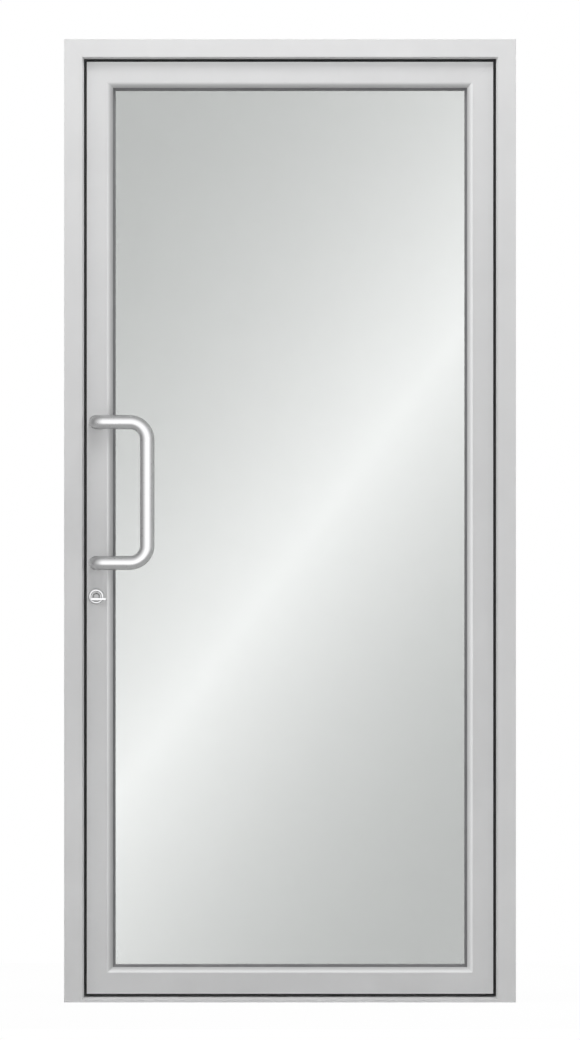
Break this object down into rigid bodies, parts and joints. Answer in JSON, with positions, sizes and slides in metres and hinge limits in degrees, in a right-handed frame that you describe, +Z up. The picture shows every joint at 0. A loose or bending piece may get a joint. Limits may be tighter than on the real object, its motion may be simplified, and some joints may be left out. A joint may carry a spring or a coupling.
{
  "type": "glazed aluminium door",
  "caption": "Single-leaf glazed aluminium entrance door with thermally broken frame, threshold, tubular pull handles on both sides and a narrow stile lock.",
  "frame": {"origin": "middle of the frame's width and depth on the underside of the threshold", "axes": "+X towards the hinge side, +Y from the face in the picture to the back, where the leaf opens, +Z up"},
  "size_m": [0.985, 0.227, 2.1],
  "materials": {
    "frame_aluminium": "satin anodised",
    "leaf_aluminium": "satin anodised",
    "insulating_bars": "matte, ribbed",
    "seals": "matte",
    "glass": "clear float with a light reflective coating",
    "spacer": "mill",
    "packers": "matte",
    "hinges": "satin anodised",
    "pins": "ground",
    "lock_steel": "brushed",
    "cylinder": "nickel plated, satin",
    "rosettes": "satin",
    "handle_tube": "satin stainless"
  },
  "bodies": {
    "frame": {"jamb_lock_front": "frame_aluminium", "jamb_lock_back": "frame_aluminium", "jamb_hinge_front": "frame_aluminium", "jamb_hinge_back": "frame_aluminium", "head_front": "frame_aluminium", "head_back": "frame_aluminium", "frame_breaks": "insulating_bars", "threshold_front": "frame_aluminium", "threshold_break": "insulating_bars", "threshold_back": "frame_aluminium", "frame_seal": "seals", "strike_plate": "lock_steel", "hinge_top_frame": "hinges", "hinge_middle_frame": "hinges", "hinge_bottom_frame": "hinges", "hinge_pins": "pins"},
    "leaf": {"stile_lock_front": "leaf_aluminium", "stile_lock_back": "leaf_aluminium", "stile_hinge_front": "leaf_aluminium", "stile_hinge_back": "leaf_aluminium", "top_rail_front": "leaf_aluminium", "top_rail_back": "leaf_aluminium", "bottom_rail_front": "leaf_aluminium", "bottom_rail_back": "leaf_aluminium", "leaf_breaks": "insulating_bars", "leaf_seal": "seals", "glazing_blocks": "packers", "glass_front": "glass", "glass_spacer": "spacer", "glass_back": "glass", "glazing_seal_front": "seals", "glazing_seal_back": "seals", "bead_lock_side": "leaf_aluminium", "bead_hinge_side": "leaf_aluminium", "bead_top": "leaf_aluminium", "bead_bottom": "leaf_aluminium", "hinge_top_leaf": "hinges", "hinge_middle_leaf": "hinges", "hinge_bottom_leaf": "hinges", "lock_faceplate": "lock_steel", "lock_case": "lock_steel", "latch_roller": "lock_steel", "dead_bolt": "lock_steel", "lock_cylinder": "cylinder", "lock_rosette_front": "rosettes", "lock_rosette_back": "rosettes", "handle_front": "handle_tube", "handle_back": "handle_tube", "handle_bolts": "lock_steel"},
    "lock_turn": {"lock_turn": "rosettes"}
  },
  "joints": [
    {"name": "leaf_hinge", "type": "hinge", "parent": "frame", "child": "leaf", "pos_m": [0.458, 0.0525, 1.04], "axis": [0, 0, -1], "range_deg": [0, 110]},
    {"name": "turn", "type": "hinge", "parent": "leaf", "child": "lock_turn", "pos_m": [-0.4225, -0.0385, 0.885], "axis": [0, 1, 0], "range_deg": [0, 90]}
  ]
}
